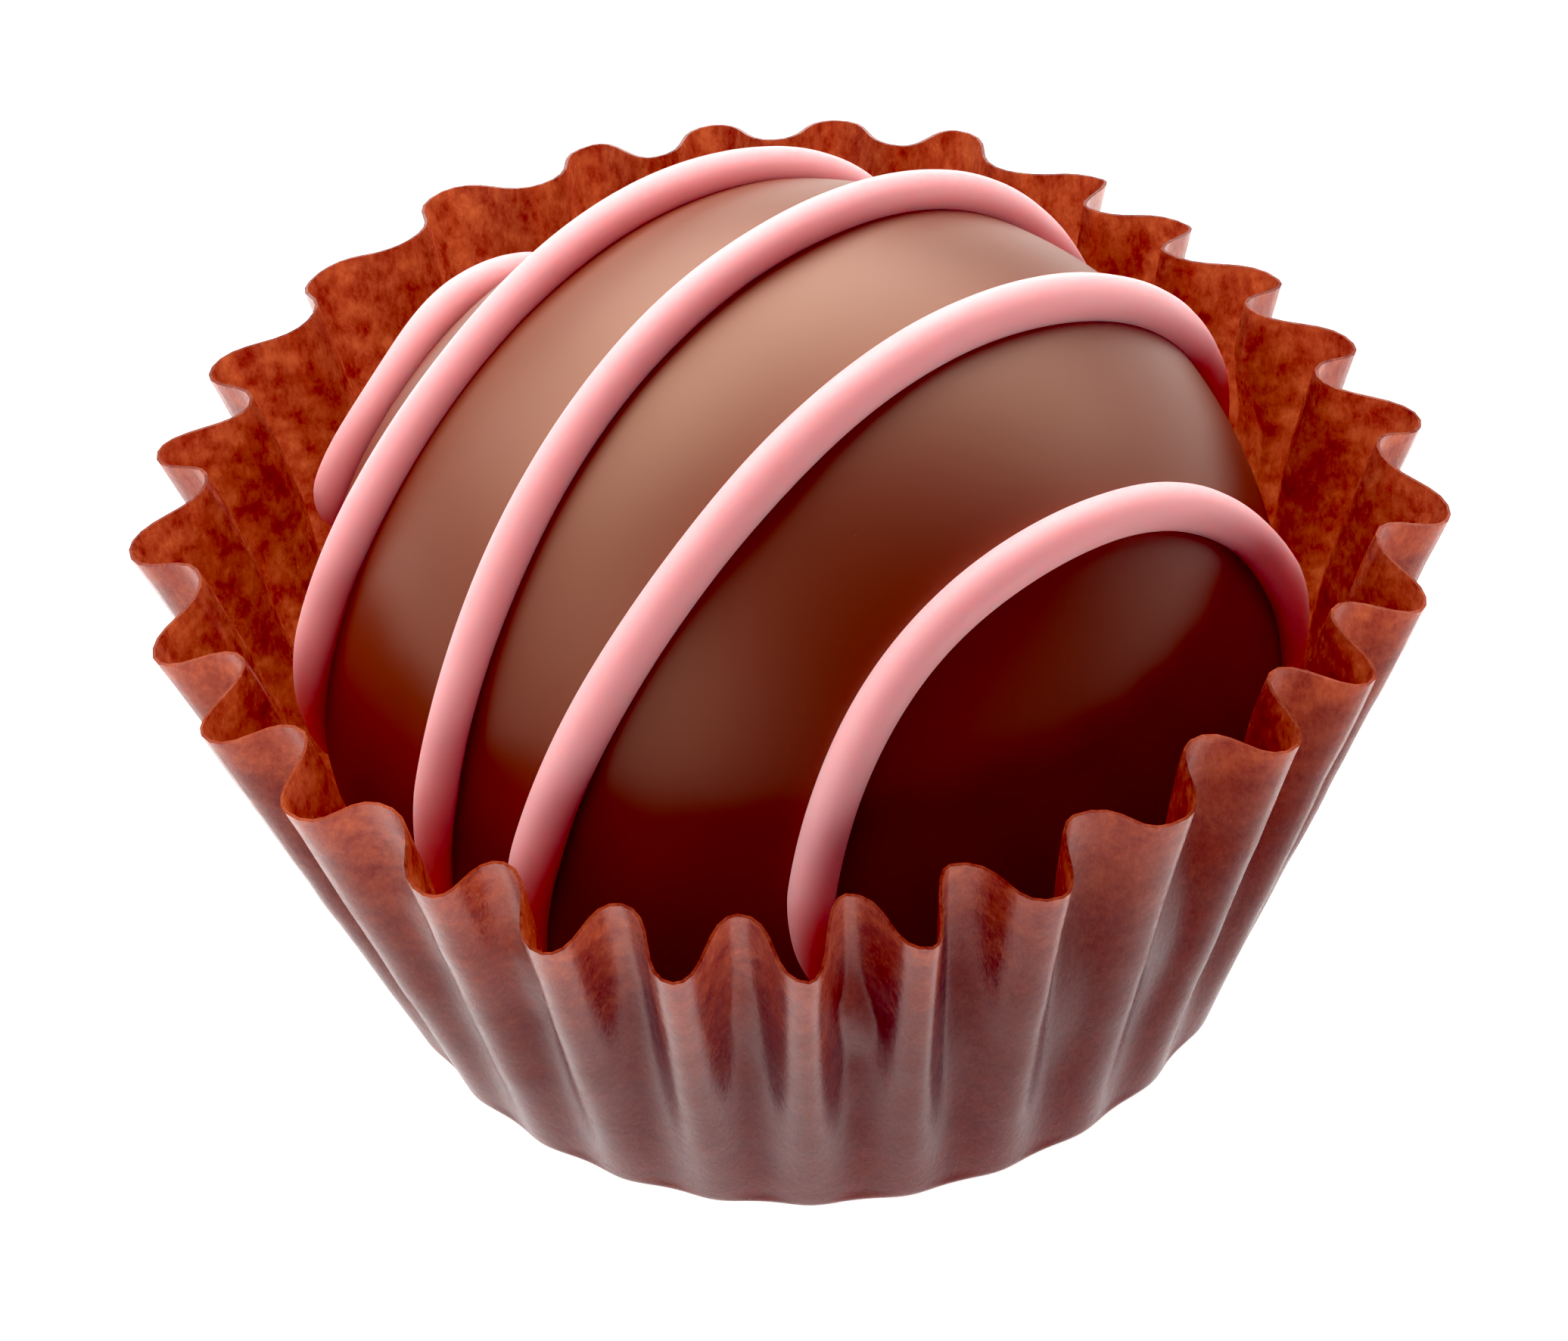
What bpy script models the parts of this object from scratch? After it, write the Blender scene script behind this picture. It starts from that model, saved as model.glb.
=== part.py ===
"""A chocolate truffle with five piped drizzle lines, standing in a fluted paper case.

Lengths are in millimetres until the meshes are made. The origin is the middle of the
underside of the case, +Z is up, and the front of the truffle faces -Y.
"""
import math

import bmesh
import bpy
from mathutils import Matrix, Vector

MM = 0.001
FULL_TURN = 2.0 * math.pi

# Paper case: a disc of glassine pressed into a tapered cup with rounded flutes.
FLUTES = 28
STEPS_PER_FLUTE = 8
BASE_RADIUS = 14.45         # out to the outer folds, on the table
CORNER_RADIUS = 0.6         # where the flat base turns up into the wall
RIM_RADIUS = 21.15          # out to the outer folds at the rim, before they are read one by one
RIM_HEIGHT = 17.4           # of the outer folds; the inner folds stand higher
INNER_FOLD_RISE = 1.0
PAPER_THICKNESS = 0.15
WALL_ROWS = 4
CORNER_ROWS = 2
FLUTE_DEPTH_AT_BASE = 0.25  # outer fold to inner fold, measured across the wall
FLUTE_DEPTH_POWER = 1.6     # flutes stay shallow low down and open towards the rim
FLUTE_STEEPNESS = 0.2       # 0 is a sine wave, more makes the sides run straight out
PRESS_SOFTNESS = 0.5
BULGE_FADE = 0.8            # beside a drizzle line the folds come back in over this width
FIRST_FOLD = math.radians(241.07)

# The case is pressed by hand, so no two flutes are alike. Each is read at the rim: the bearing
# and the reach of its outer fold, then those of the inner fold after it, from the front left.
FOLDS = (
    (245.8, 21.7, 251.5, 19.8), (257.5, 22.1, 262.5, 19.8), (268.8, 21.9, 272.7, 19.0),
    (279.7, 20.9, 283.4, 18.4), (292.7, 20.2, 297.6, 18.0), (308.1, 19.4, 314.0, 17.7),
    (322.4, 19.9, 327.2, 17.9), (333.6, 20.6, 338.5, 18.6), (344.3, 21.2, 350.4, 19.3),
    (356.5, 21.6, 3.2, 19.4), (9.5, 21.2, 15.5, 18.3), (21.8, 20.5, 28.9, 17.8),
    (33.6, 20.1, 42.1, 17.5), (45.6, 19.9, 53.6, 17.7), (56.5, 20.3, 64.4, 18.3),
    (72.4, 21.0, 76.6, 18.7), (84.0, 21.1, 89.7, 18.9), (95.4, 21.2, 102.1, 18.8),
    (106.6, 21.3, 114.3, 19.0), (121.5, 21.6, 130.1, 19.3), (137.0, 21.3, 145.6, 19.3),
    (152.5, 21.6, 159.5, 19.1), (164.6, 21.8, 171.4, 19.6), (177.6, 22.0, 185.5, 19.7),
    (192.0, 21.7, 198.2, 19.2), (203.2, 21.4, 210.8, 19.0), (216.2, 21.0, 225.3, 19.2),
    (233.0, 20.9, 238.9, 19.3),
)

# Truffle: a dipped ball, a little lower than it is wide, with a flat foot.
BALL_RADIUS = 16.1
BALL_HALF_HEIGHT = 15.2
BALL_CENTRE_HEIGHT = 12.1
BALL_AROUND = 52
BALL_UP = 28
REST_GAP = 0.3
FOOT_HEIGHT = PAPER_THICKNESS + REST_GAP
FOOT_ROUNDING = 0.8

# Drizzle: round lines piped over the ball, one after another, each in its own plane.
# A line is (heading of the plane's normal, its tilt, offset from the ball's middle,
# thickness, where it starts at the front and where it stops at the back).
# Angles are in degrees; the ends are measured from the top of the line.
DRIZZLE_LINES = (
    (-40.4, -11.0, -15.4, 1.40, -106.0, 95.0),
    (-48.1, -2.4, -8.9, 1.50, -97.0, 95.0),
    (-44.5, 2.7, -1.25, 1.45, -97.0, 95.0),
    (-47.6, -5.3, 3.5, 1.66, -97.0, 94.0),
    (-49.7, 4.6, 12.3, 1.58, -97.0, 95.0),
)
DRIZZLE_POINTS = 38
DRIZZLE_SIDES_RESOLUTION = 2
DRIZZLE_LIFT = 0.4          # the middle of a line stands this far off the chocolate
DRIZZLE_SWAY = 0.12         # the hand's wobble from side to side
SWAY_WAVES = 2.3
END_TAPER_POINTS = 4
END_SINK = 0.75             # the ends draw thin and run into the chocolate
DRIZZLE_FOOT = 9.0          # no line stands off the chocolate below this height
DRIZZLE_FOOT_FADE = 4.0

outer_reaches = [fold[1] for fold in FOLDS]
inner_reaches = [fold[3] for fold in FOLDS]
bearings = [(math.radians(bearing) - FIRST_FOLD) % FULL_TURN
            for fold in FOLDS for bearing in (fold[0], fold[2])]
bearings.append(bearings[0] + FULL_TURN)


def clear_scene():
    for item in list(bpy.data.objects):
        bpy.data.objects.remove(item, do_unlink=True)


def new_collection(name):
    collection = bpy.data.collections.new(name)
    bpy.context.scene.collection.children.link(collection)
    return collection


def principled(name, colour, roughness, metallic=0.0):
    material = bpy.data.materials.new(name)
    material.use_nodes = True
    shader = material.node_tree.nodes["Principled BSDF"]
    shader.inputs["Base Color"].default_value = (*colour, 1.0)
    shader.inputs["Roughness"].default_value = roughness
    shader.inputs["Metallic"].default_value = metallic
    return material


def between(values, place):
    """A value of each flute, blended smoothly from one to the next."""
    first = math.floor(place)
    share = place - first
    share = share * share * (3.0 - 2.0 * share)
    return values[first % FLUTES] * (1.0 - share) + values[(first + 1) % FLUTES] * share


def wall_station(row):
    """Radius and height of the outer folds at a row, and how far round the corner it is."""
    slope = math.atan2(RIM_RADIUS - BASE_RADIUS, RIM_HEIGHT)
    if row <= CORNER_ROWS:
        turned = (math.pi / 2.0 - slope) * row / CORNER_ROWS
        return (BASE_RADIUS - CORNER_RADIUS + CORNER_RADIUS * math.sin(turned),
                CORNER_RADIUS * (1.0 - math.cos(turned)), row / CORNER_ROWS)
    corner_radius, corner_height, _ = wall_station(CORNER_ROWS)
    along = (row - CORNER_ROWS) / WALL_ROWS
    return (corner_radius + (RIM_RADIUS - corner_radius) * along,
            corner_height + (RIM_HEIGHT - corner_height) * along, 1.0)


def ball_radius_at(height):
    share = min(1.0, abs(height - BALL_CENTRE_HEIGHT) / BALL_HALF_HEIGHT)
    return BALL_RADIUS * math.sqrt(1.0 - share * share)


def line_normal(heading, tilt):
    heading, tilt = math.radians(heading), math.radians(tilt)
    return Vector((math.cos(tilt) * math.cos(heading), math.cos(tilt) * math.sin(heading),
                   math.sin(tilt)))


def drizzle_bulge(place):
    """How far the drizzle stands off the ball at the nearest line, faded at its sides."""
    bulge = 0.0
    from_ball = place - Vector((0.0, 0.0, BALL_CENTRE_HEIGHT))
    for heading, tilt, offset, thickness, _, _ in DRIZZLE_LINES:
        aside = abs(line_normal(heading, tilt).dot(from_ball) - offset)
        beyond = (aside - thickness / 2.0 - REST_GAP) / BULGE_FADE
        share = 1.0 - min(1.0, max(0.0, beyond))
        bulge = max(bulge, share * (DRIZZLE_LIFT + thickness / 2.0))
    return bulge * min(1.0, max(0.0, (place.z - DRIZZLE_FOOT) / DRIZZLE_FOOT_FADE))


def pressed_out(place):
    """The truffle pushes the folds out, softly, where they would run into it."""
    reach = math.hypot(place.x, place.y)
    room = ball_radius_at(place.z) + drizzle_bulge(place) + REST_GAP + PAPER_THICKNESS
    spare = reach - room
    moved = room + (spare + math.hypot(spare, PRESS_SOFTNESS)) / 2.0
    return Vector((place.x * moved / reach, place.y * moved / reach, place.z))


def case_point(row, step):
    """One point of the fluted wall: step counts round the case, row counts up it."""
    radius, height, cornered = wall_station(row)
    up = height / RIM_HEIGHT
    place = step / STEPS_PER_FLUTE
    phase = FULL_TURN * place
    inwards = (1.0 - math.cos(phase)) / 2.0
    fold, share = divmod((phase + FLUTE_STEEPNESS * math.sin(2.0 * phase)) / math.pi, 1.0)
    fold = int(fold)
    rim_bearing = bearings[fold] * (1.0 - share) + bearings[fold + 1] * share
    bearing = FIRST_FOLD + place / FLUTES * FULL_TURN * (1.0 - up) + rim_bearing * up
    outer_reach = between(outer_reaches, place)
    rim_depth = outer_reach - between(inner_reaches, place - 0.5)
    opened = math.sin(up * math.pi / 2.0) ** FLUTE_DEPTH_POWER
    depth = FLUTE_DEPTH_AT_BASE * cornered + (rim_depth - FLUTE_DEPTH_AT_BASE) * opened
    radius += (outer_reach - RIM_RADIUS) * up - depth * inwards
    height += INNER_FOLD_RISE * up * inwards
    return pressed_out(Vector((radius * math.cos(bearing), radius * math.sin(bearing), height)))


def make_case(collection):
    """The base starts as a disc, and its edge is drawn out and up, row by row."""
    around = FLUTES * STEPS_PER_FLUTE
    sheet = bmesh.new()
    disc = bmesh.ops.create_circle(sheet, cap_ends=True, cap_tris=True, segments=around,
                                   radius=BASE_RADIUS)
    middle = max(disc["verts"], key=lambda corner: len(corner.link_edges))
    ring = sorted((corner for corner in disc["verts"] if corner is not middle),
                  key=lambda corner: math.atan2(-corner.co.x, -corner.co.y), reverse=True)
    for step, corner in enumerate(ring):
        corner.co = case_point(0, step)
    for row in range(1, CORNER_ROWS + WALL_ROWS + 1):
        edges = [sheet.edges.get((ring[step], ring[step - 1])) for step in range(around)]
        drawn = bmesh.ops.extrude_edge_only(sheet, edges=edges)["geom"]
        fresh = {item for item in drawn if isinstance(item, bmesh.types.BMVert)}
        ring = [next(edge.other_vert(corner) for edge in corner.link_edges
                     if edge.other_vert(corner) in fresh) for corner in ring]
        for step, corner in enumerate(ring):
            corner.co = case_point(row, step)
    bmesh.ops.recalc_face_normals(sheet, faces=sheet.faces)
    if middle.normal.z > 0.0:
        bmesh.ops.reverse_faces(sheet, faces=sheet.faces)
    bmesh.ops.scale(sheet, vec=(MM, MM, MM), verts=sheet.verts)
    mesh = bpy.data.meshes.new("paper_case")
    sheet.to_mesh(mesh)
    sheet.free()
    mesh.shade_smooth()
    case = bpy.data.objects.new("paper_case", mesh)
    collection.objects.link(case)
    wall = case.modifiers.new("paper thickness", "SOLIDIFY")
    wall.thickness = PAPER_THICKNESS * MM
    wall.offset = -1.0
    mesh.materials.append(principled("brown glassine paper", (0.22, 0.11, 0.08), 0.55))
    return case


def make_ball(collection):
    """A sphere drawn to the ball's size, cut flat at the foot, with a soft lower edge."""
    ball = bmesh.new()
    bmesh.ops.create_uvsphere(ball, u_segments=BALL_AROUND, v_segments=BALL_UP, radius=1.0)
    bmesh.ops.scale(ball, vec=(BALL_RADIUS, BALL_RADIUS, BALL_HALF_HEIGHT), verts=ball.verts)
    bmesh.ops.translate(ball, vec=(0.0, 0.0, BALL_CENTRE_HEIGHT), verts=ball.verts)
    everything = ball.verts[:] + ball.edges[:] + ball.faces[:]
    bmesh.ops.bisect_plane(ball, geom=everything, plane_co=(0.0, 0.0, FOOT_HEIGHT),
                           plane_no=(0.0, 0.0, 1.0), clear_inner=True)
    rim = [edge for edge in ball.edges if edge.is_boundary]
    foot = bmesh.ops.edgeloop_fill(ball, edges=rim)["faces"]
    bmesh.ops.bevel(ball, geom=list(foot[0].edges), offset=FOOT_ROUNDING, segments=2,
                    profile=0.5, affect="EDGES")
    bmesh.ops.recalc_face_normals(ball, faces=ball.faces)
    bmesh.ops.scale(ball, vec=(MM, MM, MM), verts=ball.verts)
    mesh = bpy.data.meshes.new("truffle")
    ball.to_mesh(mesh)
    ball.free()
    truffle = bpy.data.objects.new("truffle", mesh)
    collection.objects.link(truffle)
    mesh.materials.append(principled("milk chocolate", (0.12, 0.035, 0.018), 0.35))
    return truffle


def drizzle_path(heading, tilt, offset, start, stop):
    """Points where the line's plane meets the ball, from the front end to the back."""
    normal = line_normal(heading, tilt)
    along = Vector((-normal.y, normal.x, 0.0)).normalized()
    rise = normal.cross(along)
    middle = normal * offset
    wide, tall = BALL_RADIUS + DRIZZLE_LIFT, BALL_HALF_HEIGHT + DRIZZLE_LIFT
    squash = Matrix.Diagonal((1.0 / wide, 1.0 / wide, 1.0 / tall))
    points = []
    for count in range(DRIZZLE_POINTS):
        share = count / (DRIZZLE_POINTS - 1)
        turn = math.radians(start + (stop - start) * share)
        ray = along * math.sin(turn) + rise * math.cos(turn)
        near, step = squash @ middle, squash @ ray
        size, lean = step.length_squared, near.dot(step)
        reach = (-lean + math.sqrt(lean * lean - size * (near.length_squared - 1.0))) / size
        to_end = min(count, DRIZZLE_POINTS - 1 - count) / END_TAPER_POINTS
        sink = END_SINK * max(0.0, 1.0 - to_end) ** 2
        sway = DRIZZLE_SWAY * math.sin(FULL_TURN * SWAY_WAVES * share + offset)
        points.append(middle + ray * (reach - sink) + normal * sway)
    return points


def make_drizzle(number, line, collection):
    heading, tilt, offset, thickness, start, stop = line
    path = drizzle_path(heading, tilt, offset, start, stop)
    curve = bpy.data.curves.new(f"drizzle_{number}", "CURVE")
    curve.dimensions = "3D"
    curve.bevel_depth = thickness / 2.0 * MM
    curve.bevel_resolution = DRIZZLE_SIDES_RESOLUTION
    curve.use_fill_caps = True
    spline = curve.splines.new("POLY")
    spline.points.add(len(path) - 1)
    for count, (point, place) in enumerate(zip(spline.points, path)):
        point.co = (*(place * MM), 1.0)
        to_end = min(count, len(path) - 1 - count) / END_TAPER_POINTS
        point.radius = 0.55 + 0.45 * min(1.0, to_end)
    tube = bpy.data.objects.new(f"drizzle_{number}", curve)
    tube.location = (0.0, 0.0, BALL_CENTRE_HEIGHT * MM)
    collection.objects.link(tube)
    bpy.context.view_layer.update()
    evaluated = tube.evaluated_get(bpy.context.evaluated_depsgraph_get())
    mesh = bpy.data.meshes.new_from_object(evaluated)
    welded = bmesh.new()
    welded.from_mesh(mesh)
    bmesh.ops.remove_doubles(welded, verts=welded.verts, dist=1e-6)
    bmesh.ops.recalc_face_normals(welded, faces=welded.faces)
    welded.to_mesh(mesh)
    welded.free()
    rope = bpy.data.objects.new(f"drizzle_rope_{number}", mesh)
    rope.matrix_world = tube.matrix_world.copy()
    collection.objects.link(rope)
    bpy.data.objects.remove(tube, do_unlink=True)
    return rope


def fuse_drizzle(truffle, collection):
    """The icing sets on the chocolate, so ball and lines are one solid."""
    union = truffle.modifiers.new("drizzle", "BOOLEAN")
    union.operation = "UNION"
    union.operand_type = "COLLECTION"
    union.collection = collection
    union.solver = "EXACT"
    bpy.context.view_layer.objects.active = truffle
    bpy.ops.object.modifier_apply(modifier=union.name)
    for rope in list(collection.objects):
        bpy.data.objects.remove(rope, do_unlink=True)
    truffle.data.shade_smooth()
    truffle.data.set_sharp_from_angle(angle=math.radians(50))


clear_scene()
confection = new_collection("chocolate_truffle")
icing_lines = new_collection("drizzle_lines")
make_case(confection)
dipped_ball = make_ball(confection)
for line_number, drizzle_line in enumerate(DRIZZLE_LINES, start=1):
    make_drizzle(line_number, drizzle_line, icing_lines)
fuse_drizzle(dipped_ball, icing_lines)
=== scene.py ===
"""A dipped chocolate truffle with piped drizzle lines, in its fluted case of brown glassine."""
import math

import bpy
from mathutils import Matrix, Vector, noise


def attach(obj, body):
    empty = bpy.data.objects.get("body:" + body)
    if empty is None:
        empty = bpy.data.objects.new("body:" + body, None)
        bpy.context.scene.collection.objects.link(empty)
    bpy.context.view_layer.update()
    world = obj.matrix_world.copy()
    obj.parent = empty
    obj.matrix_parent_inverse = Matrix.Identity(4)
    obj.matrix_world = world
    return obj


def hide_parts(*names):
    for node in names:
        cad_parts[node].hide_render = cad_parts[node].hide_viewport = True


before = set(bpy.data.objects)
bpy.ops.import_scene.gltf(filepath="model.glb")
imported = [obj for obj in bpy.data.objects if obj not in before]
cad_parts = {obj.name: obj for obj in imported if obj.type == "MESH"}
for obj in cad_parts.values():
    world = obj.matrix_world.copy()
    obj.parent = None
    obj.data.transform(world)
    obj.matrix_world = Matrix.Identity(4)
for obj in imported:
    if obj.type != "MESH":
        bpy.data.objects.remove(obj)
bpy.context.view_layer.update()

# ---------------------------------------------------------------------------------------------
# Camera. It looks down on the truffle from the front, far off through a long lens, and is held
# a little out of level. Lengths in this script are in millimetres until a mesh is made.
MM = 0.001
AIM = Vector((-0.65, 1.73, 9.57))
CAMERA_DISTANCE = 420.0
CAMERA_ELEVATION = math.radians(41.915)
CAMERA_ROLL = math.radians(-3.482)
LENS = 288.2

camera = bpy.data.objects.new("camera", bpy.data.cameras.new("camera"))
bpy.context.scene.collection.objects.link(camera)
backwards = Vector((0.0, -math.cos(CAMERA_ELEVATION), math.sin(CAMERA_ELEVATION)))
camera.matrix_world = (Matrix.Translation((AIM + backwards * CAMERA_DISTANCE) * MM)
                       @ Matrix.Rotation(math.pi / 2.0 - CAMERA_ELEVATION, 4, "X")
                       @ Matrix.Rotation(CAMERA_ROLL, 4, "Z"))
camera.data.lens = LENS
camera.data.sensor_width = 36.0
camera.data.clip_start = 0.01
camera.data.clip_end = 20.0
bpy.context.scene.camera = camera

# ---------------------------------------------------------------------------------------------
# Paper case. A disc of brown glassine, a thin greaseproof paper, is pressed between two fluted
# dies and keeps their flutes. It stays open at the top, and the truffle presses its folds out.
FULL_TURN = 2.0 * math.pi
FLUTES = 28
STEPS_PER_FLUTE = 16
BASE_RADIUS = 14.45
CORNER_RADIUS = 0.6
RIM_RADIUS = 21.15
RIM_HEIGHT = 17.4
INNER_FOLD_RISE = 1.0
SOLID_THICKNESS = 0.15      # of the frame's case, which the truffle's clearance is set by
PAPER_THICKNESS = 0.11
CORNER_ROWS = 5
WALL_ROWS = 40
BASE_RINGS = 6
FLUTE_DEPTH_AT_BASE = 0.25
FLUTE_DEPTH_POWER = 1.6
FLUTE_STEEPNESS = 0.2
PRESS_SOFTNESS = 0.5
BULGE_FADE = 0.8
FIRST_FOLD = math.radians(241.07)
# Hand-pressed paper, so no two flutes are alike. Each is read at the rim: the bearing and the
# reach of its outer fold, then those of the inner fold after it, round from the front left.
FOLDS = (
    (245.8, 21.7, 251.5, 19.8), (257.5, 22.1, 262.5, 19.8), (268.8, 21.9, 272.7, 19.0),
    (279.7, 20.9, 283.4, 18.4), (292.7, 20.2, 297.6, 18.0), (308.1, 19.4, 314.0, 17.7),
    (322.4, 19.9, 327.2, 17.9), (333.6, 20.6, 338.5, 18.6), (344.3, 21.2, 350.4, 19.3),
    (356.5, 21.6, 3.2, 19.4), (9.5, 21.2, 15.5, 18.3), (21.8, 20.5, 28.9, 17.8),
    (33.6, 20.1, 42.1, 17.5), (45.6, 19.9, 53.6, 17.7), (56.5, 20.3, 64.4, 18.3),
    (72.4, 21.0, 76.6, 18.7), (84.0, 21.1, 89.7, 18.9), (95.4, 21.2, 102.1, 18.8),
    (106.6, 21.3, 114.3, 19.0), (121.5, 21.6, 130.1, 19.3), (137.0, 21.3, 145.6, 19.3),
    (152.5, 21.6, 159.5, 19.1), (164.6, 21.8, 171.4, 19.6), (177.6, 22.0, 185.5, 19.7),
    (192.0, 21.7, 198.2, 19.2), (203.2, 21.4, 210.8, 19.0), (216.2, 21.0, 225.3, 19.2),
    (233.0, 20.9, 238.9, 19.3),
)
BALL_RADIUS = 16.1
BALL_HALF_HEIGHT = 15.2
BALL_CENTRE = Vector((0.0, 0.0, 12.1))
REST_GAP = 0.3
DRIZZLE_LINES = (
    (-40.4, -11.0, -15.4, 1.40, -106.0, 95.0),
    (-48.1, -2.4, -8.9, 1.50, -97.0, 95.0),
    (-44.5, 2.7, -1.25, 1.45, -97.0, 95.0),
    (-47.6, -5.3, 3.5, 1.66, -97.0, 94.0),
    (-49.7, 4.6, 12.3, 1.58, -97.0, 95.0),
)
DRIZZLE_LIFT = 0.4
DRIZZLE_FOOT = 9.0          # no line stands off the chocolate below this height
DRIZZLE_FOOT_FADE = 4.0
CRINKLES = ((3.2, 0.055), (1.3, 0.022))     # (width, height) of the paper's shallow buckles
SMOOTH_FOOT_SHARE = 1.0 / 3.0               # of the wall's height, over which they come in

outer_reaches = [fold[1] for fold in FOLDS]
inner_reaches = [fold[3] for fold in FOLDS]
bearings = [(math.radians(bearing) - FIRST_FOLD) % FULL_TURN
            for fold in FOLDS for bearing in (fold[0], fold[2])]
bearings.append(bearings[0] + FULL_TURN)


def between(values, place):
    """A value of each flute, blended smoothly from one to the next."""
    first = math.floor(place)
    share = place - first
    share = share * share * (3.0 - 2.0 * share)
    return values[first % FLUTES] * (1.0 - share) + values[(first + 1) % FLUTES] * share


def ball_radius_at(height):
    share = min(1.0, abs(height - BALL_CENTRE.z) / BALL_HALF_HEIGHT)
    return BALL_RADIUS * math.sqrt(1.0 - share * share)


def line_normal(heading, tilt):
    heading, tilt = math.radians(heading), math.radians(tilt)
    return Vector((math.cos(tilt) * math.cos(heading), math.cos(tilt) * math.sin(heading),
                   math.sin(tilt)))


def drizzle_bulge(place):
    """How far the drizzle stands off the ball at the nearest line, faded at its sides."""
    bulge = 0.0
    for heading, tilt, offset, thickness, _, _ in DRIZZLE_LINES:
        aside = abs(line_normal(heading, tilt).dot(place - BALL_CENTRE) - offset)
        beyond = (aside - thickness / 2.0 - REST_GAP) / BULGE_FADE
        share = 1.0 - min(1.0, max(0.0, beyond))
        bulge = max(bulge, share * (DRIZZLE_LIFT + thickness / 2.0))
    return bulge * min(1.0, max(0.0, (place.z - DRIZZLE_FOOT) / DRIZZLE_FOOT_FADE))


def pressed_out(place):
    """The truffle pushes the folds out, softly, where they would run into it."""
    reach = math.hypot(place.x, place.y)
    room = ball_radius_at(place.z) + drizzle_bulge(place) + REST_GAP + SOLID_THICKNESS
    spare = reach - room
    moved = room + (spare + math.hypot(spare, PRESS_SOFTNESS)) / 2.0
    return Vector((place.x * moved / reach, place.y * moved / reach, place.z))


def wall_rows():
    """Of each row of the wall: radius, height and how far round the base's corner it is."""
    slope = math.atan2(RIM_RADIUS - BASE_RADIUS, RIM_HEIGHT)
    rows = []
    for row in range(CORNER_ROWS + 1):
        turned = (math.pi / 2.0 - slope) * row / CORNER_ROWS
        rows.append((BASE_RADIUS - CORNER_RADIUS + CORNER_RADIUS * math.sin(turned),
                     CORNER_RADIUS * (1.0 - math.cos(turned)), row / CORNER_ROWS))
    corner_radius, corner_height, _ = rows[-1]
    for row in range(1, WALL_ROWS + 1):
        along = row / WALL_ROWS
        rows.append((corner_radius + (RIM_RADIUS - corner_radius) * along,
                     corner_height + (RIM_HEIGHT - corner_height) * along, 1.0))
    return rows


def fluted(row, turn):
    """Where the dies press the paper at a row, a share of a turn round from the first fold."""
    radius, height, cornered = row
    up = height / RIM_HEIGHT
    phase = turn * FLUTES * FULL_TURN
    inwards = (1.0 - math.cos(phase)) / 2.0
    fold, share = divmod((phase + FLUTE_STEEPNESS * math.sin(2.0 * phase)) / math.pi, 1.0)
    fold = int(fold)
    rim_bearing = bearings[fold] * (1.0 - share) + bearings[fold + 1] * share
    bearing = FIRST_FOLD + turn * FULL_TURN * (1.0 - up) + rim_bearing * up
    outer_reach = between(outer_reaches, turn * FLUTES)
    rim_depth = outer_reach - between(inner_reaches, turn * FLUTES - 0.5)
    opened = math.sin(up * math.pi / 2.0) ** FLUTE_DEPTH_POWER
    depth = FLUTE_DEPTH_AT_BASE * cornered + (rim_depth - FLUTE_DEPTH_AT_BASE) * opened
    radius += (outer_reach - RIM_RADIUS) * up - depth * inwards
    height += INNER_FOLD_RISE * up * inwards
    outwards = Vector((math.cos(bearing), math.sin(bearing), 0.0))
    place = outwards * radius + Vector((0.0, 0.0, height))
    for width, buckle in CRINKLES:
        come_in = min(1.0, up / SMOOTH_FOOT_SHARE)
        place += outwards * (noise.noise(place / width) * buckle * come_in)
    return pressed_out(place)


rows = wall_rows()
around = FLUTES * STEPS_PER_FLUTE
bpy.ops.object.select_all(action="DESELECT")
bpy.ops.mesh.primitive_circle_add(vertices=around, radius=rows[0][0] * MM, fill_type="NGON")
case = bpy.context.object
case.name = "glassine_case"
bpy.ops.object.mode_set(mode="EDIT")
bpy.ops.mesh.select_mode(type="FACE")
bpy.ops.mesh.select_all(action="SELECT")
ring_width = rows[0][0] / (BASE_RINGS + 1)
for _ in range(BASE_RINGS):
    bpy.ops.mesh.inset(thickness=ring_width * MM)
bpy.ops.mesh.poke()
bpy.ops.mesh.select_mode(type="EDGE")
bpy.ops.mesh.select_all(action="DESELECT")
bpy.ops.mesh.select_non_manifold(extend=False, use_wire=False, use_boundary=True,
                                 use_multi_face=False, use_non_contiguous=False, use_verts=False)
for below, row in zip(rows, rows[1:]):
    bpy.ops.mesh.extrude_edges_move(
        TRANSFORM_OT_translate={"value": (0.0, 0.0, (row[1] - below[1]) * MM)})
    widen = row[0] / below[0]
    bpy.ops.transform.resize(value=(widen, widen, 1.0), center_override=(0.0, 0.0, row[1] * MM))
bpy.ops.object.mode_set(mode="OBJECT")

heights = [row[1] for row in rows]
for corner in case.data.vertices:
    height = corner.co.z / MM
    if height < heights[1] / 2.0 and corner.co.xy.length / MM < rows[0][0] - ring_width / 2.0:
        continue
    row = min(range(len(rows)), key=lambda count: abs(heights[count] - height))
    bearing = math.atan2(corner.co.y, corner.co.x)
    step = round((bearing - FIRST_FOLD) / FULL_TURN * around) % around
    corner.co = fluted(rows[row], step / around) * MM

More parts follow.
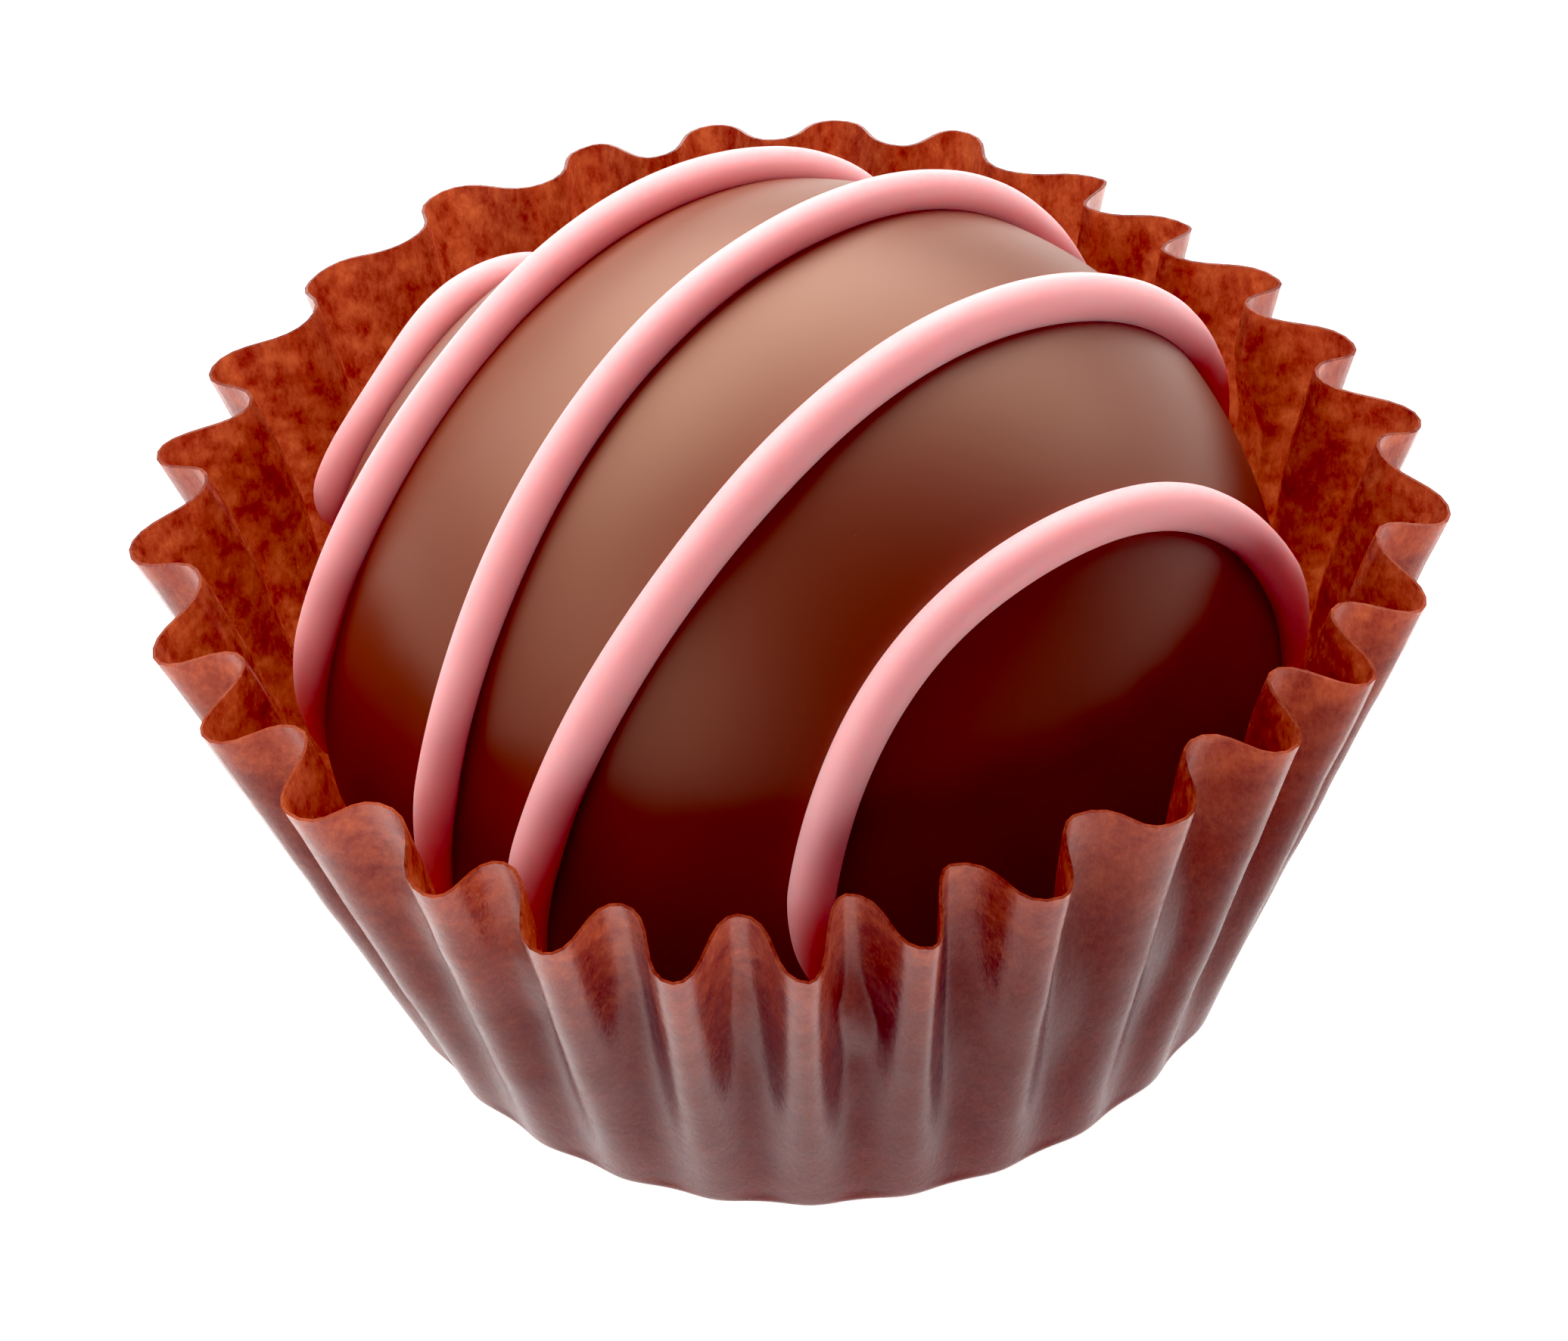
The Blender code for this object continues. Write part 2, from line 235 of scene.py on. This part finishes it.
bpy.ops.object.mode_set(mode="EDIT")
bpy.ops.mesh.select_all(action="SELECT")
bpy.ops.mesh.normals_make_consistent(inside=False)
bpy.ops.object.mode_set(mode="OBJECT")
lowest = min(case.data.polygons, key=lambda face: face.center.z + face.center.xy.length * 0.01)
if lowest.normal.z > 0.0:
    case.data.flip_normals()
bpy.ops.object.modifier_add(type="SOLIDIFY")
case.modifiers[-1].thickness = PAPER_THICKNESS * MM
case.modifiers[-1].offset = -1.0
bpy.ops.object.modifier_apply(modifier=case.modifiers[-1].name)
bpy.ops.object.shade_smooth()
bpy.ops.object.shade_smooth_by_angle(angle=math.radians(50))


def linear(colour):
    """The linear colour of a hex colour as a screen shows it."""
    parts = [int(colour[start:start + 2], 16) / 255.0 for start in (1, 3, 5)]
    return (*(part / 12.92 if part <= 0.04045 else ((part + 0.055) / 1.055) ** 2.4
              for part in parts), 1.0)


def add_node(tree, kind, inputs=None, **settings):
    """Adds a node. Each input is a value, or the socket that it is linked to."""
    node = tree.nodes.new("ShaderNode" + kind)
    for name, value in settings.items():
        setattr(node, name, value)
    for name, value in (inputs or {}).items():
        if isinstance(value, bpy.types.NodeSocket):
            tree.links.new(value, node.inputs[name])
        else:
            node.inputs[name].default_value = value
    return node


def new_material(name):
    material = bpy.data.materials.new(name)
    material.use_nodes = True
    material.node_tree.nodes.clear()
    return material, material.node_tree


def features_per_metre(size_mm):
    """The texture scale that gives a pattern features of this size."""
    return 1.0 / (size_mm * MM)


# Brown glassine: calendered greaseproof paper, dyed through. It shows a soft gloss, lets warm
# light through, more where its fibres are thin, and has a fine fibre tooth under the gloss.
GLASSINE_DARK = "#191512"
GLASSINE_LIGHT = "#322923"
LIT_THROUGH_DEEP = "#96594f"
LIT_THROUGH_THIN = "#c68e6f"
FIBRE_CLUMP_WIDTH = 0.22    # the noise goes on from here down to single fibres
CLOUD_WIDTH = 2.2
THIN_SPOT_WIDTH = 0.9

glassine, tree = new_material("brown_glassine")
place = add_node(tree, "TexCoord").outputs["Object"]
along_fibres = add_node(tree, "Mapping", {"Vector": place, "Scale": (1.0, 1.0, 0.5)})
fibres = add_node(tree, "TexNoise", {
    "Vector": along_fibres.outputs["Vector"], "Scale": features_per_metre(FIBRE_CLUMP_WIDTH),
    "Detail": 4.0, "Roughness": 0.7, "Distortion": 0.3})
clouds = add_node(tree, "TexNoise", {
    "Vector": place, "Scale": features_per_metre(CLOUD_WIDTH), "Detail": 3.0, "Roughness": 0.55})
thin_spots = add_node(tree, "TexNoise", {
    "Vector": place, "Scale": features_per_metre(THIN_SPOT_WIDTH), "Detail": 4.0,
    "Roughness": 0.6})
mottle = add_node(tree, "Math", {0: fibres.outputs["Fac"], 1: clouds.outputs["Fac"]},
                  operation="ADD")
mottle_share = add_node(tree, "MapRange", {
    "Value": mottle.outputs[0], "From Min": 0.75, "From Max": 1.25})
body_colour = add_node(tree, "Mix", {
    0: mottle_share.outputs[0], 6: linear(GLASSINE_DARK), 7: linear(GLASSINE_LIGHT)},
    data_type="RGBA")
thin_places = add_node(tree, "Math", {
    0: thin_spots.outputs["Fac"], 1: fibres.outputs["Fac"]}, operation="ADD")
thinness = add_node(tree, "MapRange", {
    "Value": thin_places.outputs[0], "From Min": 0.72, "From Max": 1.28})
through_colour = add_node(tree, "Mix", {
    0: thinness.outputs[0], 6: linear(LIT_THROUGH_DEEP), 7: linear(LIT_THROUGH_THIN)},
    data_type="RGBA")
tooth = add_node(tree, "Bump", {
    "Height": fibres.outputs["Fac"], "Strength": 0.5, "Distance": 0.035 * MM})
roughness = add_node(tree, "MapRange", {
    "Value": mottle.outputs[0], "From Min": 0.8, "From Max": 1.2, "To Min": 0.14, "To Max": 0.3})
surface = add_node(tree, "BsdfPrincipled", {
    "Base Color": body_colour.outputs[2], "Normal": tooth.outputs["Normal"],
    "Roughness": roughness.outputs[0], "IOR": 1.6, "Specular Tint": (1.0, 0.15, 0.0, 1.0)})
through = add_node(tree, "BsdfTranslucent", {
    "Color": through_colour.outputs[2], "Normal": tooth.outputs["Normal"]})
both = add_node(tree, "AddShader", {0: surface.outputs[0], 1: through.outputs[0]})
add_node(tree, "OutputMaterial", {"Surface": both.outputs[0]})
case.data.materials.append(glassine)

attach(case, "root")
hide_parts("paper_case")

# ---------------------------------------------------------------------------------------------
# Chocolate ball. A ball of ganache, dipped in milk chocolate and set down to harden, so that its
# foot is flat and its skin is smooth, with the slight unevenness of a coat that ran.
FOOT_HEIGHT = SOLID_THICKNESS + REST_GAP
FOOT_ROUNDING = 0.8
COAT_WAVES = ((11.0, 0.16), (4.5, 0.035))    # (width, height) of the coat's unevenness
COAT_FADE_HEIGHT = 4.0      # of the stretch above the foot over which the unevenness comes in

bpy.ops.object.select_all(action="DESELECT")
bpy.ops.mesh.primitive_uv_sphere_add(segments=192, ring_count=112, radius=BALL_RADIUS * MM,
                                     location=BALL_CENTRE * MM)
ball = bpy.context.object
ball.name = "chocolate_ball"
bpy.ops.object.mode_set(mode="EDIT")
bpy.ops.mesh.select_all(action="SELECT")
bpy.ops.transform.resize(value=(1.0, 1.0, BALL_HALF_HEIGHT / BALL_RADIUS),
                         center_override=BALL_CENTRE * MM)
bpy.ops.mesh.bisect(plane_co=(0.0, 0.0, FOOT_HEIGHT * MM), plane_no=(0.0, 0.0, 1.0),
                    use_fill=True, clear_inner=True)
bpy.ops.mesh.bevel(offset=FOOT_ROUNDING * MM, segments=4, affect="EDGES")
bpy.ops.object.mode_set(mode="OBJECT")
bpy.ops.object.transform_apply(location=True, rotation=True, scale=True)
for corner in ball.data.vertices:
    spot = corner.co / MM
    fade = min(1.0, max(0.0, (spot.z - FOOT_HEIGHT) / COAT_FADE_HEIGHT))
    outwards = (spot - BALL_CENTRE).normalized()
    for width, height in COAT_WAVES:
        spot += outwards * (noise.noise(spot / width) * height * fade)
    corner.co = spot * MM
bpy.ops.object.shade_smooth()
bpy.ops.object.shade_smooth_by_angle(angle=math.radians(40))

# Milk chocolate: tempered and set on its own, so it has a satin skin. It is warm brown, a little
# cloudy where the cocoa butter set unevenly, with a few pin-prick bubbles.
CHOCOLATE_DARK = "#662e17"
CHOCOLATE_LIGHT = "#6e341c"
CHOCOLATE_CLOUD_WIDTH = 7.0
PIN_PRICK_SPACING = 1.6

milk_chocolate, tree = new_material("tempered_milk_chocolate")
place = add_node(tree, "TexCoord").outputs["Object"]
clouds = add_node(tree, "TexNoise", {
    "Vector": place, "Scale": features_per_metre(CHOCOLATE_CLOUD_WIDTH), "Detail": 3.0})
body_colour = add_node(tree, "Mix", {
    0: clouds.outputs["Fac"], 6: linear(CHOCOLATE_DARK), 7: linear(CHOCOLATE_LIGHT)},
    data_type="RGBA")
pricks = add_node(tree, "TexVoronoi", {
    "Vector": place, "Scale": features_per_metre(PIN_PRICK_SPACING)})
prick = add_node(tree, "MapRange", {
    "Value": pricks.outputs["Distance"], "From Min": 0.02, "From Max": 0.05})
dimples = add_node(tree, "Bump", {
    "Height": prick.outputs[0], "Strength": 0.25, "Distance": 0.02 * MM})
skin = add_node(tree, "BsdfPrincipled", {
    "Base Color": body_colour.outputs[2], "Normal": dimples.outputs["Normal"],
    "Roughness": 0.46, "IOR": 1.92, "Specular Tint": (1.0, 0.66, 0.46, 1.0)})
add_node(tree, "OutputMaterial", {"Surface": skin.outputs[0]})
ball.data.materials.append(milk_chocolate)

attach(ball, "root")
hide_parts("truffle")

# ---------------------------------------------------------------------------------------------
# Drizzle lines. Pink compound icing is piped from a round nozzle over the set coat, one line
# beside the other, and it sets where it lies: a round bead that is sunk a little at its foot.
DRIZZLE_POINTS = 150
DRIZZLE_SIDES_RESOLUTION = 9
DRIZZLE_SWAY = 0.12
SWAY_WAVES = 2.3
END_TAPER_SHARE = 0.11
END_THICKNESS = 0.55        # as a share of the line's full thickness
END_SINK = 0.75
BEAD_SWELL = 0.05           # how much the hand's pace thickens and thins the bead
BEAD_SWELL_WIDTH = 5.0


def drizzle_path(line):
    """Where the line's plane meets the ball: (place, share of the full thickness) along it."""
    heading, tilt, offset, _, start, stop = line
    normal = line_normal(heading, tilt)
    along = Vector((-normal.y, normal.x, 0.0)).normalized()
    rise = normal.cross(along)
    middle = normal * offset
    wide, tall = BALL_RADIUS + DRIZZLE_LIFT, BALL_HALF_HEIGHT + DRIZZLE_LIFT
    squash = Matrix.Diagonal((1.0 / wide, 1.0 / wide, 1.0 / tall))
    for count in range(DRIZZLE_POINTS):
        share = count / (DRIZZLE_POINTS - 1)
        turn = math.radians(start + (stop - start) * share)
        ray = along * math.sin(turn) + rise * math.cos(turn)
        near, step = squash @ middle, squash @ ray
        size, lean = step.length_squared, near.dot(step)
        reach = (-lean + math.sqrt(lean * lean - size * (near.length_squared - 1.0))) / size
        to_end = min(1.0, min(share, 1.0 - share) / END_TAPER_SHARE)
        sink = END_SINK * (1.0 - to_end) ** 2
        sway = DRIZZLE_SWAY * math.sin(FULL_TURN * SWAY_WAVES * share + offset)
        spot = BALL_CENTRE + middle + ray * (reach - sink) + normal * sway
        swell = 1.0 + BEAD_SWELL * noise.noise(spot / BEAD_SWELL_WIDTH)
        yield spot, (END_THICKNESS + (1.0 - END_THICKNESS) * to_end) * swell


# Compound icing: sugar and white fat, dyed pink. Light goes a little way into it, so that it
# turns redder and deeper where it curves out of the light, under a satin skin.
ICING_PINK = "#feb5b6"
ICING_GLOW_DEPTH = 1.2

pink_icing, tree = new_material("pink_compound_icing")
place = add_node(tree, "TexCoord").outputs["Object"]
grain = add_node(tree, "TexNoise", {
    "Vector": place, "Scale": features_per_metre(0.5), "Detail": 2.0})
icing_skin = add_node(tree, "Bump", {
    "Height": grain.outputs["Fac"], "Strength": 0.08, "Distance": 0.02 * MM})
icing = add_node(tree, "BsdfPrincipled", {
    "Base Color": linear(ICING_PINK), "Normal": icing_skin.outputs["Normal"],
    "Roughness": 0.45, "IOR": 1.3, "Subsurface Weight": 1.0,
    "Subsurface Radius": (1.0, 0.1, 0.1), "Subsurface Scale": ICING_GLOW_DEPTH * MM})
add_node(tree, "OutputMaterial", {"Surface": icing.outputs[0]})

for number, line in enumerate(DRIZZLE_LINES, start=1):
    bead = bpy.data.curves.new(f"drizzle_line_{number}", "CURVE")
    bead.dimensions = "3D"
    bead.bevel_depth = line[3] / 2.0 * MM
    bead.bevel_resolution = DRIZZLE_SIDES_RESOLUTION
    bead.use_fill_caps = True
    route = bead.splines.new("POLY")
    route.points.add(DRIZZLE_POINTS - 1)
    for point, (spot, thickness) in zip(route.points, drizzle_path(line)):
        point.co = (*(spot * MM), 1.0)
        point.radius = thickness
    piped = bpy.data.objects.new(f"drizzle_line_{number}", bead)
    bpy.context.scene.collection.objects.link(piped)
    bpy.ops.object.select_all(action="DESELECT")
    piped.select_set(True)
    bpy.context.view_layer.objects.active = piped
    bpy.ops.object.convert(target="MESH")
    bpy.ops.object.mode_set(mode="EDIT")
    bpy.ops.mesh.select_all(action="SELECT")
    bpy.ops.mesh.remove_doubles(threshold=0.001 * MM)
    bpy.ops.mesh.normals_make_consistent(inside=False)
    bpy.ops.object.mode_set(mode="OBJECT")
    bpy.ops.object.shade_smooth()
    piped.data.materials.clear()
    piped.data.materials.append(pink_icing)
    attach(piped, "root")
    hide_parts("truffle")

# ---------------------------------------------------------------------------------------------
# Floor and light. The truffle stands on a white light table in a dark room. Two wide softboxes
# light it from behind, four smaller ones from the sides, and none hangs in front on the right.
TABLE_GLOW = 0.95

bpy.ops.object.select_all(action="DESELECT")
bpy.ops.mesh.primitive_plane_add(size=6.0)
table = bpy.context.object
table.name = "light_table"
opal_sheet, tree = new_material("opal_acrylic_sheet")
opal = add_node(tree, "BsdfPrincipled", {
    "Base Color": linear("#bcbbb9"), "Roughness": 0.55, "Emission Color": linear("#ffffff"),
    "Emission Strength": TABLE_GLOW})
add_node(tree, "OutputMaterial", {"Surface": opal.outputs[0]})
table.data.materials.append(opal_sheet)

# name, bearing from straight behind, height angle, distance, width, height, brightness of its face
SOFTBOXES = (
    ("back_softbox", 0.0, 31.0, 1.0, 1.1, 0.56, 5.4),
    ("high_softbox", 0.0, 59.0, 1.0, 1.1, 0.5, 3.8),
    ("left_back_softbox", -52.0, 45.0, 1.0, 0.65, 1.15, 3.5),
    ("right_back_softbox", 50.0, 31.0, 1.0, 0.7, 0.75, 2.5),
    ("left_softbox", -98.0, 42.0, 1.0, 0.7, 0.95, 1.6),
    ("left_front_softbox", -136.0, 33.0, 1.0, 0.8, 0.7, 1.2),
)
for name, bearing, height_angle, distance, width, height, brightness in SOFTBOXES:
    softbox = bpy.data.objects.new(name, bpy.data.lights.new(name, "AREA"))
    bpy.context.scene.collection.objects.link(softbox)
    direction = (Matrix.Rotation(math.radians(-bearing), 3, "Z")
                 @ Matrix.Rotation(math.radians(height_angle), 3, "X") @ Vector((0.0, 1.0, 0.0)))
    softbox.data.shape = "ELLIPSE"
    softbox.data.size = width
    softbox.data.size_y = height
    softbox.data.energy = brightness * math.pi * math.pi * width * height / 4.0
    softbox.matrix_world = (Matrix.Translation(direction * distance)
                            @ direction.to_track_quat("Z", "Y").to_matrix().to_4x4())

room = bpy.data.worlds.new("dark_room")
bpy.context.scene.world = room
room.use_nodes = True
room.node_tree.nodes["Background"].inputs["Color"].default_value = linear("#ffffff")
room.node_tree.nodes["Background"].inputs["Strength"].default_value = 0.1

# The photo's finish: plain colours, with deep shades that lose their green and blue first, so
# that they turn a warm dark red before they close to black.
photo_finish = bpy.context.scene.view_settings
photo_finish.view_transform = "Standard"
photo_finish.use_curve_mapping = True
photo_finish.curve_mapping.black_level = (0.017, 0.03, 0.019)
photo_finish.curve_mapping.update()
